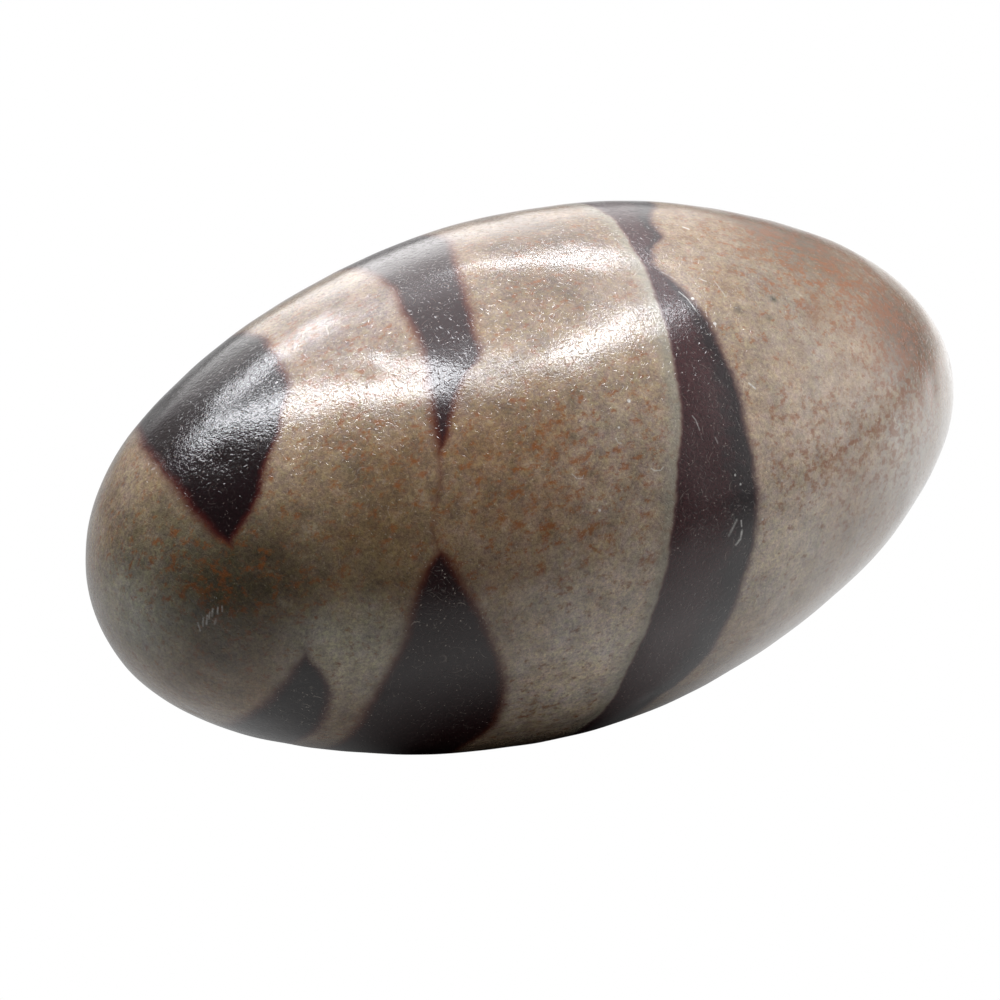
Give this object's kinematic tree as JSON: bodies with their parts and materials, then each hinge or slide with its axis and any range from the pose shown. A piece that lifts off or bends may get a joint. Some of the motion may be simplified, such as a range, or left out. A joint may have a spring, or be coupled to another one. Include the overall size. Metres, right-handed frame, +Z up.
{
  "type": "shiva lingam stone",
  "caption": "Smooth egg-shaped river stone with a soft hand polish and dark bands, lying on its side on a small worn patch.",
  "frame": {"origin": "on the resting surface, under the middle of the stone's bounding box", "axes": "+X along the stone's long axis towards its slimmer end, +Z up, +Y across the waist away from the side that the picture shows"},
  "size_m": [0.09, 0.049, 0.0482],
  "materials": {
    "banded_stone": "hand-polished, semi-gloss, fine grained"
  },
  "bodies": {
    "root": {"stone": "banded_stone"}
  },
  "joints": []
}
